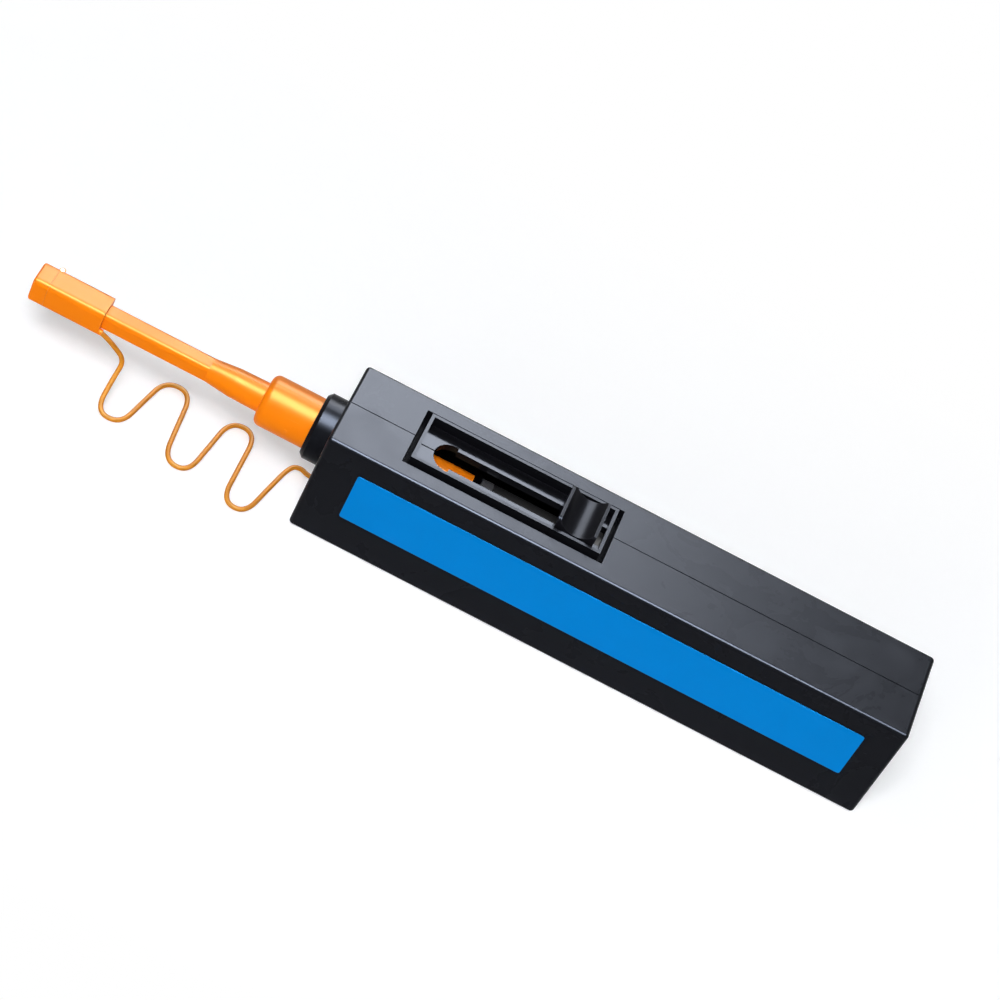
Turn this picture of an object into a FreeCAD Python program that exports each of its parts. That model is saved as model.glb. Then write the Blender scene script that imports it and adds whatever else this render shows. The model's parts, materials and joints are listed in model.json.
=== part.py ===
"""Fibre connector cleaning pen, in millimetres.

The origin is the middle of the housing's bottom face. +X runs from the cleaning tip to the back of the
housing, +Z is up through the window face, and the label is on the -Y side. Every piece is drawn at rest:
slider back, nozzle out against its stop, guide cap on, end lid shut.
"""
import FreeCAD, Part
import math
import os

Vec = FreeCAD.Vector

# Housing
HOUSING_LENGTH = 122.4
HOUSING_WIDTH = 22.0
HOUSING_HEIGHT = 26.5
WALL = 1.6
EDGE_RADIUS = 0.8
SEAM_GROOVE = 0.12
NOZZLE_DROP = 10.0            # nozzle axis below the window face
RUN_GAP = 0.3                 # between parts that pass each other
FIT_GAP = 0.05                # radial, of a spigot in its socket
SLIDE_GAP = 0.1               # radial, of a sliding fit
RIB_SHARE = 0.75              # rib thickness, of the wall
FRONT_RIB = 9.0               # ribs behind the front face
REAR_RIB = 48.0
LIP_REACH = 0.6               # tongue along the seam
LIP_DEPTH = 0.7
LIP_INSET = 8.0
DOWELS_BEHIND_FRONT = (5.5, 31.0)
DOWEL_RISE = 2.6              # above the bottom wall
DOWEL_BOSS = 1.6
DOWEL_RADIUS = 0.8
DOWEL_LENGTH = 2.2
DOWEL_SOCKET = 2.6

# Window in the top face
WINDOW_START = 14.1           # from the front face
WINDOW_LENGTH = 42.2
WINDOW_WIDTH = 14.9
MOAT_WIDTH = 1.15
MOAT_DEPTH = 1.9
RIM_WALL = 0.65
RIM_RISE = 1.0
FLOOR_DROP = 1.35
FLOOR_THICKNESS = 1.55
TRAY_WALL = 1.2
TRAY_SEAM = 0.14              # half width of the joint across the tray floor
TRAY_SEAM_DEPTH = 0.4
KEYHOLE_START = 4.6           # from the front end of the window
KEYHOLE_LENGTH = 4.0
KEYHOLE_WIDTH = 6.8
KEYHOLE_RADIUS = 3.3
SLOT_WIDTH = 5.2

# Label
LABEL_START = 8.2
LABEL_LENGTH = 107.4
LABEL_HEIGHT = 12.3
LABEL_DROP = 5.4              # below the top edge
LABEL_THICKNESS = 0.2
LABEL_ROUND = 0.5

# Front collar
COLLAR_WALL = 1.5
COLLAR_LENGTH = 4.05
COLLAR_BEVEL = 0.8
COLLAR_NECK_WALL = 0.6        # where it passes through the front wall
COLLAR_FLANGE_WALL = 1.7
COLLAR_FLANGE = 0.8

# Nozzle
NOZZLE_RADIUS = 5.3
NOZZLE_SHOULDER = 14.85       # shoulder ahead of the front face
SHOULDER_ROUND = 1.45
NOZZLE_TAIL = 27.8            # tail end behind the front face
NECK_RADIUS = 3.08
NECK_TAPER = 0.1
NECK_LENGTH = 6.2
NECK_END_RADIUS = 2.42
NECK_END = 11.5               # from the shoulder
STEM_SIDE = 4.0               # the square stem ahead of the neck
STEM_ROUND = 1.0
STEM_END = 52.3               # ahead of the front face
SPINDLE_BORE = 0.95
CAM_BORE = 2.4
CAM_BORE_REACH = 4.0          # ahead of the shoulder
SOCKET_RADIUS = 4.0
SOCKET_DEPTH = 8.0

# Carriage behind the nozzle
RING_GAP = 1.7
RING_LENGTH = 2.4
CARRIAGE_STEP = 0.2           # how far it stands proud of the nozzle's radius
CARRIAGE_REAR = 54.2          # behind the front face
TAIL_RADIUS = 3.0
CARRIAGE_BEVEL = 0.3
THREAD_BORE = 1.6
PUSH_STROKE = 8.0

# Cleaning spindle in the nozzle
SPINDLE_RADIUS = 0.85
TIP_RADIUS = 0.6
TIP_LENGTH = 5.4
TIP_REACH = 5.15              # ahead of the stem's end
CAM_RADIUS = 2.2
CAM_LENGTH = 3.0
CAM_GAP = 0.2                 # behind the end of its bore
SPINDLE_END = 16.0            # back end behind the nozzle's shoulder
TIP_BEVEL = 0.1
TIP_TAPER = 0.25
THREAD_TUBE = 0.3
TIP_THREAD = 0.12
TIP_THREAD_WIDTH = 0.5
TIP_THREAD_LENGTH = 3.5
TIP_THREAD_GAP = 0.02
THREAD_RADIUS = 0.2
THREAD_APART = 0.6            # each strand's offset from the axis, both ways
THREAD_LEAD = 0.3             # from the spindle's back end
THREAD_LIFT = 0.25            # a strand's centre above the pack it runs onto
THREAD_PASS = 0.8             # and above a pack it runs over

# Guide cap and its end lid
CAP_SIDE = 6.1
CAP_ROUND = 1.2
CAP_TIP = 63.5                # lid's outer face ahead of the front face
CAP_LENGTH = 15.0
LID_THICKNESS = 3.25
LID_GAP = 0.05
CAP_SOCKET_DEPTH = 4.3
CAP_CHAMBER_RADIUS = 1.6
FERRULE_RADIUS = 0.635
FERRULE_LENGTH = 2.6
KNUCKLE_RADIUS = 0.65
KNUCKLE_STAND = 0.15          # hinge axis outside the cap's far side
KNUCKLE_BACK = 0.35           # and behind its front face
KNUCKLE_SPAN = 5.0
LID_KNUCKLE = 1.8
PIN_RADIUS = 0.3
LID_ROUND = 0.5
LID_ARM = 1.2                 # length of the arm that carries the lid's barrel
LID_ARM_ROOT = 0.5            # how far it starts inside the lid
LID_ARM_SHARE = 0.7           # how far it covers its barrel, of the barrel's radius

# Slider button
PAD_LENGTH = 8.1
PAD_WIDTH = 10.2
PAD_BACK_GAP = 1.25           # to the rim behind it
PAD_LIFT = 0.2                # above the tray floor
PAD_SHOULDER = 1.1            # rounding of its two top edges along X
RIDGE_RISE = 3.1              # above the window face
BACK_RIDGE_DROP = 0.3         # the ridge behind is this much lower
VALLEY_RISE = 0.8
RIDGE_LENGTH = 0.6
SLIDE_STROKE = 27.0
FOOT_LENGTH = 5.5
FOOT_WIDTH = 4.6
FOOT_PLACE = 0.6              # its middle, of the pad's length from the front
PEG_SIDE = 3.0

# Reel chassis, carried by the slider
BAR_THICKNESS = 1.0
BAR_WIDTH = 8.0
BAR_LEAD = 1.0                # behind the pad's front
YOKE_THICKNESS = 1.5
YOKE_MARGIN = 2.8             # round the carriage's tail
BULKHEAD = 1.2
BULKHEAD_GAP = 0.6            # behind the carriage when it is pushed in
CHASSIS_GAP = 0.6             # to the back wall
PLATE_THICKNESS = 1.2
PLATE_GAP = 0.5               # to the side walls
PLATE_MARGIN = 0.9            # above the reels
TIE_THICKNESS = 1.2
TIE_HEIGHT = 2.0
REEL_GAP = 0.55
REEL_HEADROOM = 2.0           # to the top and bottom walls
REEL_WIDTH = 14.4
FLANGE_THICKNESS = 0.8
HUB_RADIUS = 3.5
AXLE_RADIUS = 1.5
AXLE_FIT = 0.02               # in the plates
BEARING_GAP = 0.05
USED_PACK_RADIUS = 5.0
FRESH_PACK_RADIUS = 7.6
RUNNER_HEIGHT = 1.1
RUNNER_WIDTH = 1.2
RUNNER_INSET = 2.2            # its middle from the side wall
RUNNER_LEAD = 1.0             # ahead of the bulkhead at its foremost
WASHER_RADIUS = 3.6

# Rack, gear and ratchet
GEAR_MODULE = 0.8
GEAR_TEETH = 15
GEAR_WIDTH = 2.4
GEAR_POCKET = 0.7             # depth of the thinned ring
GEAR_RIM = 1.9                # of the ring's edge inside the pitch circle
GEAR_HUB = 1.0                # wall round the axle
DEDENDUM = 1.25               # in modules
BACKLASH = 0.16
RACK_BAR = 1.6
RACK_PLATE = 1.2
RACK_MARGIN = 1.3             # of the plate round the carriage's tail
RACK_END = 0.75               # of the bar past the gear's middle, in pitches
CLIP_THICKNESS = 0.7
CLIP_DEPTH = 0.4
CLIP_RISE = 1.2               # outside the tail
CLIP_MOUTH = 0.8              # of its bore
TAIL_LIP = 0.6                # behind the clip's groove
PRESSURE_ANGLE = math.radians(20)
RATCHET_RADIUS = 4.6
RATCHET_DEPTH = 0.9
RATCHET_TEETH = 12
RATCHET_ROOT = 0.35           # tooth inside and outside the ratchet radius
RATCHET_TIP = 0.25
RATCHET_SLOPE = 0.85          # long side of a tooth, of its pitch
PAWL_STEP = 0.4               # between the gear and the reel
PAWL_HUB = 1.1                # wall round the axle
PAWL_FLOOR_GAP = 0.2          # to the pocket's floor
PAWL_SIDE_GAP = 0.15
PAWL_TIP_GAP = 0.45           # inside the ratchet radius
PAWL_ARM = 0.5

# Return spring
SPRING_WIRE = 0.3             # half the square wire
SPRING_TURNS = 5
SPRING_STAND = 0.75           # middle of the wire outside the tail
SPRING_PRESSED = 5.0          # length when the nozzle is pushed in

# Tether
TETHER_RADIUS = 0.5
TETHER_LIE = 0.6              # centre above the floor
TETHER_SIDES = 8
TETHER_BOSS = 0.65            # boss it leaves the cap from, in the cap's lower corner
TETHER_BOSS_LENGTH = 0.7

FRONT = -HOUSING_LENGTH / 2
BACK = HOUSING_LENGTH / 2
AXIS_Z = HOUSING_HEIGHT - NOZZLE_DROP
INNER_Y = HOUSING_WIDTH / 2 - WALL
CEILING = HOUSING_HEIGHT - WALL
WINDOW_FRONT = FRONT + WINDOW_START
WINDOW_BACK = WINDOW_FRONT + WINDOW_LENGTH
TRAY_TOP = HOUSING_HEIGHT - FLOOR_DROP
TRAY_BOTTOM = TRAY_TOP - FLOOR_THICKNESS
RIM_BACK = WINDOW_BACK - MOAT_WIDTH - RIM_WALL
PAD_BACK = RIM_BACK - PAD_BACK_GAP
PAD_FRONT = PAD_BACK - PAD_LENGTH
COLLAR_BORE = NOZZLE_RADIUS + SLIDE_GAP
COLLAR_RADIUS = COLLAR_BORE + COLLAR_WALL
COLLAR_NECK_RADIUS = COLLAR_BORE + COLLAR_NECK_WALL
TAIL_END = FRONT + NOZZLE_TAIL
RING_FRONT = TAIL_END + RING_GAP
CARRIAGE_FRONT = RING_FRONT + RING_LENGTH
SHOULDER = FRONT + CARRIAGE_REAR
YOKE_FRONT = SHOULDER + PUSH_STROKE + SPRING_PRESSED
RACK_PLATE_FRONT = YOKE_FRONT + YOKE_THICKNESS + SLIDE_GAP
CLIP_FRONT = RACK_PLATE_FRONT + RACK_PLATE + FIT_GAP
CLIP_BACK = CLIP_FRONT + CLIP_THICKNESS
CARRIAGE_BACK = CLIP_BACK + TAIL_LIP
BULKHEAD_FRONT = CARRIAGE_BACK + PUSH_STROKE + BULKHEAD_GAP
CHASSIS_BACK = BACK - WALL - CHASSIS_GAP
BAR_TOP = TRAY_BOTTOM - RUN_GAP
BAR_BOTTOM = BAR_TOP - BAR_THICKNESS
CARRIAGE_RADIUS = min(NOZZLE_RADIUS + CARRIAGE_STEP, BAR_BOTTOM - RUN_GAP - AXIS_Z)
BAR_FRONT = PAD_FRONT + BAR_LEAD
PLATE_Y = INNER_Y - PLATE_GAP
CHASSIS_BOTTOM = WALL + RUNNER_HEIGHT + RUN_GAP
BAY_FRONT = BULKHEAD_FRONT + BULKHEAD
REEL_RADIUS = min((CHASSIS_BACK - BAY_FRONT - 3 * REEL_GAP) / 4, (CEILING - WALL) / 2 - REEL_HEADROOM)
REEL_Z = (CEILING + WALL) / 2
TAKEUP_X = BAY_FRONT + REEL_GAP + REEL_RADIUS
SUPPLY_X = CHASSIS_BACK - REEL_GAP - REEL_RADIUS
PITCH_RADIUS = GEAR_MODULE * GEAR_TEETH / 2
REEL_Y = REEL_WIDTH / 2
GEAR_Y = -REEL_Y
TAKEUP_Y = GEAR_Y + GEAR_WIDTH + PAWL_STEP
RACK_ROOT_Z = REEL_Z + PITCH_RADIUS + DEDENDUM * GEAR_MODULE
PAD_LOW = TRAY_TOP + PAD_LIFT
PAD_HIGH = HOUSING_HEIGHT + RIDGE_RISE
FOOT_X = PAD_FRONT + PAD_LENGTH * FOOT_PLACE
STEM_FRONT = FRONT - STEM_END
SPINDLE_TIP = STEM_FRONT - TIP_REACH
SHOULDER_X = FRONT - NOZZLE_SHOULDER
CAM_BORE_FRONT = SHOULDER_X - CAM_BORE_REACH
SPINDLE_BACK = SHOULDER_X + SPINDLE_END
CAP_BACK = FRONT - CAP_TIP + CAP_LENGTH
LID_FRONT = FRONT - CAP_TIP
CAP_FRONT = LID_FRONT + LID_THICKNESS
HINGE_X = CAP_FRONT + KNUCKLE_BACK
HINGE_Y = CAP_SIDE / 2 + KNUCKLE_STAND
BOSS_OFFSET = CAP_SIDE / 2 - CAP_ROUND + (CAP_ROUND - TETHER_BOSS) * math.sqrt(0.5)
TETHER_Y = -BOSS_OFFSET
TETHER_Z = AXIS_Z - BOSS_OFFSET


def box(x0, x1, y0, y1, z0, z1):
    """Block between two opposite corners."""
    return Part.makeBox(x1 - x0, y1 - y0, z1 - z0, Vec(x0, y0, z0))


def rod_x(x0, x1, radius, y=0.0, z=AXIS_Z):
    """Round bar along X, on the nozzle axis unless told otherwise."""
    return Part.makeCylinder(radius, x1 - x0, Vec(x0, y, z), Vec(1, 0, 0))


def rod_y(y0, y1, radius, x, z):
    """Round bar along Y."""
    return Part.makeCylinder(radius, y1 - y0, Vec(x, y0, z), Vec(0, 1, 0))


def turned(profile):
    """Solid of revolution about the nozzle axis, from (x, radius) corners."""
    points = [Vec(x, 0, AXIS_Z + r) for x, r in profile]
    face = Part.Face(Part.makePolygon(points + [points[0]]))
    return face.revolve(Vec(0, 0, AXIS_Z), Vec(1, 0, 0), 360)


def prism_y(outline, y0, y1):
    """Outline of (x, z) corners, drawn out along Y."""
    points = [Vec(x, y0, z) for x, z in outline]
    face = Part.Face(Part.makePolygon(points + [points[0]]))
    return face.extrude(Vec(0, y1 - y0, 0))


def square_bar(x0, x1, side, rounding):
    """Square bar on the nozzle axis with its four long edges rounded."""
    bar = box(x0, x1, -side / 2, side / 2, AXIS_Z - side / 2, AXIS_Z + side / 2)
    return bar.makeFillet(rounding, long_edges(bar, Vec(1, 0, 0)))


def long_edges(shape, direction):
    """Straight edges that run along a direction."""
    found = []
    for edge in shape.Edges:
        run = edge.Vertexes[-1].Point - edge.Vertexes[0].Point
        if run.Length > 1e-6 and run.cross(direction).Length < 1e-6 * run.Length:
            found.append(edge)
    return found


def rings_at(shape, x, radius):
    """Round edges about the nozzle axis at one station."""
    found = []
    for edge in shape.Edges:
        curve = edge.Curve
        if isinstance(curve, Part.Circle) and abs(curve.Center.x - x) < 1e-4:
            if abs(curve.Radius - radius) < 1e-4:
                found.append(edge)
    return found


# ---- housing -------------------------------------------------------------------------------------

def housing_block():
    """Rounded outer block with the seam groove run round it."""
    half = HOUSING_WIDTH / 2
    block = box(FRONT, BACK, -half, half, 0, HOUSING_HEIGHT)
    block = block.makeFillet(EDGE_RADIUS, block.Edges)
    g = SEAM_GROOVE
    band = box(FRONT - 1, BACK + 1, -g, g, -1, HOUSING_HEIGHT + 1)
    core = box(FRONT + g, BACK - g, -g, g, g, HOUSING_HEIGHT - g)
    return block.cut(band.cut(core))


def window_tray():
    """Sunken tray that hangs under the window."""
    half = WINDOW_WIDTH / 2 + TRAY_WALL
    return box(WINDOW_FRONT - TRAY_WALL, WINDOW_BACK + TRAY_WALL, -half, half, TRAY_BOTTOM, CEILING)


def window_recess():
    """Room cut out of the tray, with the raised rim left standing in it and the moat round the rim."""
    half = WINDOW_WIDTH / 2
    top = HOUSING_HEIGHT + RIM_RISE
    recess = box(WINDOW_FRONT, WINDOW_BACK, -half, half, TRAY_TOP, top)
    return recess.cut(window_rim()).fuse(moat())


def moat():
    """Groove round the rim, its two end runs finished with a V bottom."""
    half, w = WINDOW_WIDTH / 2, MOAT_WIDTH
    low = HOUSING_HEIGHT - MOAT_DEPTH
    ring = box(WINDOW_FRONT, WINDOW_BACK, -half, half, low, HOUSING_HEIGHT)
    ring = ring.cut(box(WINDOW_FRONT + w, WINDOW_BACK - w, -half + w, half - w, low, HOUSING_HEIGHT))
    for x in (WINDOW_FRONT, WINDOW_BACK - w):
        ring = ring.fuse(prism_y([(x, low), (x + w / 2, low - w / 2), (x + w, low)], -half, half))
    return ring


def tray_seam():
    """Open joint between the halves, across the tray floor ahead of the keyhole."""
    start = WINDOW_FRONT + MOAT_WIDTH + RIM_WALL
    end = WINDOW_FRONT + KEYHOLE_START
    return box(start, end, -TRAY_SEAM, TRAY_SEAM, TRAY_TOP - TRAY_SEAM_DEPTH, TRAY_TOP)


def window_rim():
    """Thin raised wall inside the moat."""
    half = WINDOW_WIDTH / 2 - MOAT_WIDTH
    front, back = WINDOW_FRONT + MOAT_WIDTH, WINDOW_BACK - MOAT_WIDTH
    top = HOUSING_HEIGHT + RIM_RISE
    outer = box(front, back, -half, half, TRAY_TOP, top)
    w = RIM_WALL
    inner = box(front + w, back - w, -half + w, half - w, TRAY_TOP, top)
    return outer.cut(inner)


def keyhole():
    """Wide rounded entry with the long slot behind it."""
    start = WINDOW_FRONT + KEYHOLE_START
    neck = start + KEYHOLE_LENGTH
    half = KEYHOLE_WIDTH / 2
    entry = box(start, neck, -half, half, TRAY_BOTTOM, TRAY_TOP)
    corners = [e for e in long_edges(entry, Vec(0, 0, 1)) if e.Vertexes[0].X < start + 0.1]
    entry = entry.makeFillet(KEYHOLE_RADIUS, corners)
    half = SLOT_WIDTH / 2
    return entry.fuse(box(neck, RIM_BACK, -half, half, TRAY_BOTTOM, TRAY_TOP))


def saddle_rib(x, top, hole_radius):
    """Cross rib with a round saddle for what slides over it."""
    rib = box(x, x + WALL * RIB_SHARE, -INNER_Y, INNER_Y, WALL, top)
    return rib.cut(rod_x(x - 1, x + WALL, hole_radius))


def runners():
    """Two low rails that the reel chassis slides on."""
    front = BULKHEAD_FRONT - SLIDE_STROKE - RUNNER_LEAD
    rails = []
    for side in (-1, 1):
        y0 = side * (INNER_Y - RUNNER_INSET) - RUNNER_WIDTH / 2
        rails.append(box(front, BACK - WALL, y0, y0 + RUNNER_WIDTH, WALL, WALL + RUNNER_HEIGHT))
    return rails


def housing_shell():
    """Whole hollow housing, before it is parted."""
    shell = housing_block()
    shell = shell.cut(box(FRONT + WALL, BACK - WALL, -INNER_Y, INNER_Y, WALL, CEILING))
    ribs = [saddle_rib(FRONT + FRONT_RIB, AXIS_Z, max(NOZZLE_RADIUS, CARRIAGE_RADIUS) + RUN_GAP)]
    ribs.append(saddle_rib(FRONT + REAR_RIB, AXIS_Z - CARRIAGE_RADIUS - RUN_GAP, CARRIAGE_RADIUS))
    shell = shell.multiFuse([window_tray()] + ribs + runners())
    shell = shell.cut(window_recess()).fuse(window_rim()).cut(keyhole()).cut(tray_seam())
    return shell.cut(rod_x(FRONT - 1, FRONT + WALL, COLLAR_NECK_RADIUS)).removeSplitter()


def seam_lip(grow):
    """Tongue along the bottom and back of the seam; grow widens it into its groove."""
    reach, depth, inset = LIP_REACH + grow, LIP_DEPTH + grow, LIP_INSET - grow
    bottom = box(FRONT + inset, BACK - inset, -reach, 0, WALL - depth, WALL)
    back = box(BACK - WALL, BACK - WALL + depth, -reach, 0, inset, CEILING - inset)
    return bottom.fuse(back)


def dowel_places():
    """(x, z) of the locating dowels, under the nozzle and the carriage."""
    return [(FRONT + behind, WALL + DOWEL_RISE) for behind in DOWELS_BEHIND_FRONT]


def left_shell(shell):
    """Half on the label side, with the dowel pins and the groove for the lip."""
    half = shell.common(box(FRONT - 1, BACK + 1, -HOUSING_WIDTH, 0, -1, HOUSING_HEIGHT + 5))
    for x, z in dowel_places():
        boss, pin = rod_y(-INNER_Y, 0, DOWEL_BOSS, x, z), rod_y(-1, DOWEL_LENGTH, DOWEL_RADIUS, x, z)
        half = half.fuse(boss).fuse(pin)
    return half.cut(seam_lip(FIT_GAP)).removeSplitter()


def right_shell(shell):
    """Half on the far side, with the dowel sockets and the lip."""
    half = shell.common(box(FRONT - 1, BACK + 1, 0, HOUSING_WIDTH, -1, HOUSING_HEIGHT + 5))
    for x, z in dowel_places():
        socket = rod_y(0, DOWEL_SOCKET, DOWEL_RADIUS + FIT_GAP, x, z)
        half = half.fuse(rod_y(0, INNER_Y, DOWEL_BOSS, x, z)).cut(socket)
    return half.fuse(seam_lip(0.0)).removeSplitter()


def front_collar():
    """Bevelled bush that the nozzle slides through, held in the front wall by its flange."""
    bore, neck = COLLAR_BORE, COLLAR_NECK_RADIUS - FIT_GAP
    flange = bore + COLLAR_FLANGE_WALL
    nose = FRONT - COLLAR_LENGTH
    inside = FRONT + WALL
    return turned([
        (nose, bore), (nose, COLLAR_RADIUS - COLLAR_BEVEL), (nose + COLLAR_BEVEL, COLLAR_RADIUS),
        (FRONT, COLLAR_RADIUS), (FRONT, neck), (inside, neck), (inside, flange),
        (inside + COLLAR_FLANGE, flange), (inside + COLLAR_FLANGE, bore)])


def label():
    """Bare printed strip on the -Y side."""
    top = HOUSING_HEIGHT - LABEL_DROP
    y = -HOUSING_WIDTH / 2
    x = FRONT + LABEL_START
    strip = box(x, x + LABEL_LENGTH, y - LABEL_THICKNESS, y, top - LABEL_HEIGHT, top)
    return strip.makeFillet(LABEL_ROUND, long_edges(strip, Vec(0, 1, 0)))


# ---- tether --------------------------------------------------------------------------------------

def tether_route():
    """Corners of the zig-zag: out of the cap's back, down to the floor, and along it to the housing."""
    start = FRONT - CAP_BACK - TETHER_BOSS_LENGTH
    lie = TETHER_LIE
    ahead = [                       # ahead of the front face, sideways, up
        (start, TETHER_Y, TETHER_Z), (start - 1.2, TETHER_Y, TETHER_Z), (45.4, -1.0, 11.2),
        (42.8, -0.3, 9.2), (42.5, -0.6, lie), (42.7, -8.5, lie), (37.2, -8.6, lie), (34.1, 6.8, lie),
        (28.4, 7.0, lie), (26.7, -11.5, lie), (21.4, -11.8, lie), (19.2, 5.2, lie), (13.5, 5.4, lie),
        (13.1, -14.0, lie), (8.0, -14.4, lie), (4.4, 2.0, lie), (1.8, 1.3, 1.7), (0.0, 1.3, 1.7)]
    return [Vec(FRONT - x, y, z) for x, y, z in ahead]


def tether_path(points):
    """Straight runs joined by tangent arcs, each as large as its two runs allow."""
    edges = []
    last = points[0]
    for before, corner, after in zip(points, points[1:], points[2:]):
        into, out = corner - before, after - corner
        half_turn = into.getAngle(out) / 2
        reach = 0.45 * min(into.Length, out.Length)
        a = corner - into.normalize() * reach
        b = corner + out.normalize() * reach
        inward = (a + b) * 0.5 - corner
        radius = reach / math.tan(half_turn)
        middle = corner + inward.normalize() * (radius / math.cos(half_turn) - radius)
        edges.append(Part.LineSegment(last, a).toShape())
        edges.append(Part.Arc(a, middle, b).toShape())
        last = b
        print(f"tether bend radius {radius:.2f}")
    edges.append(Part.LineSegment(last, points[-1]).toShape())
    return Part.Wire(edges)


def tether():
    """Moulded flexible zig-zag strap between the guide cap and the housing."""
    points = tether_route()
    path = tether_path(points)
    turn = 2 * math.pi / TETHER_SIDES
    corners = [points[0] + Vec(0, math.cos((i + 0.5) * turn), math.sin((i + 0.5) * turn)) * TETHER_RADIUS
               for i in range(TETHER_SIDES)]
    solid = path.makePipeShell([Part.makePolygon(corners + corners[:1])], True, False)
    area = TETHER_SIDES / 2 * math.sin(turn) * TETHER_RADIUS ** 2
    print(f"tether length {path.Length:.1f}, volume {solid.Volume:.2f}, expected {area * path.Length:.2f}")
    return solid


# ---- nozzle and carriage -------------------------------------------------------------------------

def nozzle():
    """Stepped tube: wide tail in the housing, waisted neck and square stem ahead of it."""
    body = turned([
        (TAIL_END, 0), (TAIL_END, NOZZLE_RADIUS), (SHOULDER_X, NOZZLE_RADIUS), (SHOULDER_X, NECK_RADIUS),
        (SHOULDER_X - NECK_LENGTH, NECK_RADIUS - NECK_TAPER), (SHOULDER_X - NECK_END, NECK_END_RADIUS),
        (SHOULDER_X - NECK_END, 0)])
    body = body.makeFillet(SHOULDER_ROUND, rings_at(body, SHOULDER_X, NOZZLE_RADIUS))
    body = body.fuse(square_bar(STEM_FRONT, SHOULDER_X - NECK_END + 1.0, STEM_SIDE, STEM_ROUND))
    body = body.cut(rod_x(STEM_FRONT, TAIL_END, SPINDLE_BORE))
    body = body.cut(rod_x(CAM_BORE_FRONT, TAIL_END, CAM_BORE))
    return body.cut(rod_x(TAIL_END - SOCKET_DEPTH, TAIL_END, SOCKET_RADIUS)).removeSplitter()


def retainer_ring():
    """Ring between the nozzle's tail and the carriage."""
    ring = rod_x(RING_FRONT, CARRIAGE_FRONT, CARRIAGE_RADIUS)
    return ring.cut(rod_x(RING_FRONT, CARRIAGE_FRONT, SOCKET_RADIUS))


def carriage():
    """Tube that carries the nozzle on its spigot and the spring and rack on its tail."""
    spigot = SOCKET_RADIUS - FIT_GAP
    front = TAIL_END - SOCKET_DEPTH + FIT_GAP
    groove = TAIL_RADIUS - CLIP_DEPTH
    return turned([
        (front, THREAD_BORE), (front, spigot), (CARRIAGE_FRONT, spigot),
        (CARRIAGE_FRONT, CARRIAGE_RADIUS - CARRIAGE_BEVEL),
        (CARRIAGE_FRONT + CARRIAGE_BEVEL, CARRIAGE_RADIUS),
        (SHOULDER, CARRIAGE_RADIUS), (SHOULDER, TAIL_RADIUS),
        (CLIP_FRONT, TAIL_RADIUS), (CLIP_FRONT, groove), (CLIP_BACK, groove), (CLIP_BACK, TAIL_RADIUS),
        (CARRIAGE_BACK, TAIL_RADIUS), (CARRIAGE_BACK, THREAD_BORE)])


def return_spring():
    """Square-wire coil spring on the carriage's tail, between its shoulder and the yoke."""
    mean = TAIL_RADIUS + SPRING_STAND
    start, end = SHOULDER + SPRING_WIRE + FIT_GAP, YOKE_FRONT - SPRING_WIRE - FIT_GAP
    helix = Part.makeHelix((end - start) / SPRING_TURNS, end - start, mean)
    wire = Part.Wire(helix.Edges)
    w = SPRING_WIRE
    corners = [Vec(mean + x, 0, z) for x, z in ((-w, -w), (w, -w), (w, w), (-w, w), (-w, -w))]
    coil = wire.makePipeShell([Part.makePolygon(corners)], True, True)
    coil.rotate(Vec(0, 0, 0), Vec(0, 1, 0), 90)
    coil.translate(Vec(start, 0, AXIS_Z))
    return coil


def retaining_clip():
    """Snap ring in the groove at the tail's end, open on one side."""
    bore = TAIL_RADIUS - CLIP_DEPTH
    rim = TAIL_RADIUS + CLIP_RISE
    half = bore * CLIP_MOUTH
    ring = rod_x(CLIP_FRONT, CLIP_BACK, rim).cut(rod_x(CLIP_FRONT, CLIP_BACK, bore))
    mouth = box(CLIP_FRONT, CLIP_BACK, -half, half, AXIS_Z - rim, AXIS_Z)
    return ring.cut(mouth)


# ---- rack and gear -------------------------------------------------------------------------------

def involute_half_angle(radius, base, at_pitch):
    """Half the angle that a gear tooth spans at a radius."""
    pressure = math.acos(min(1.0, base / radius))
    return at_pitch - (math.tan(pressure) - pressure)


def gear_outline():
    """(x, z) corners of the drive gear, with a gap at the top for the rack's tooth."""
    base = PITCH_RADIUS * math.cos(PRESSURE_ANGLE)
    tip, root = PITCH_RADIUS + GEAR_MODULE, PITCH_RADIUS - DEDENDUM * GEAR_MODULE
    half = (math.pi * GEAR_MODULE / 2 - BACKLASH) / 2 / PITCH_RADIUS
    at_base = half + math.tan(PRESSURE_ANGLE) - PRESSURE_ANGLE
    radii = [base + (tip - base) * i / 4 for i in range(5)]
    flank = [(root, involute_half_angle(base, base, at_base))]
    flank += [(r, involute_half_angle(r, base, at_base)) for r in radii]
    corners = []
    for tooth in range(GEAR_TEETH):
        centre = math.pi / 2 + (tooth + 0.5) * 2 * math.pi / GEAR_TEETH
        corners += [(r, centre - a) for r, a in flank]
        corners += [(r, centre + a) for r, a in reversed(flank)]
    return [(TAKEUP_X + r * math.cos(a), REEL_Z + r * math.sin(a)) for r, a in corners]


def drive_gear():
    """Spur gear on the take-up axle, thinned between hub and rim."""
    gear = prism_y(gear_outline(), GEAR_Y, GEAR_Y + GEAR_WIDTH)
    pocket = rod_y(GEAR_Y, GEAR_Y + GEAR_POCKET, PITCH_RADIUS - GEAR_RIM, TAKEUP_X, REEL_Z)
    pocket = pocket.cut(rod_y(GEAR_Y, GEAR_Y + GEAR_POCKET, AXLE_RADIUS + GEAR_HUB, TAKEUP_X, REEL_Z))
    bore = rod_y(GEAR_Y, GEAR_Y + GEAR_WIDTH, AXLE_RADIUS + BEARING_GAP, TAKEUP_X, REEL_Z)
    return gear.cut(pocket).cut(bore)


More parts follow.
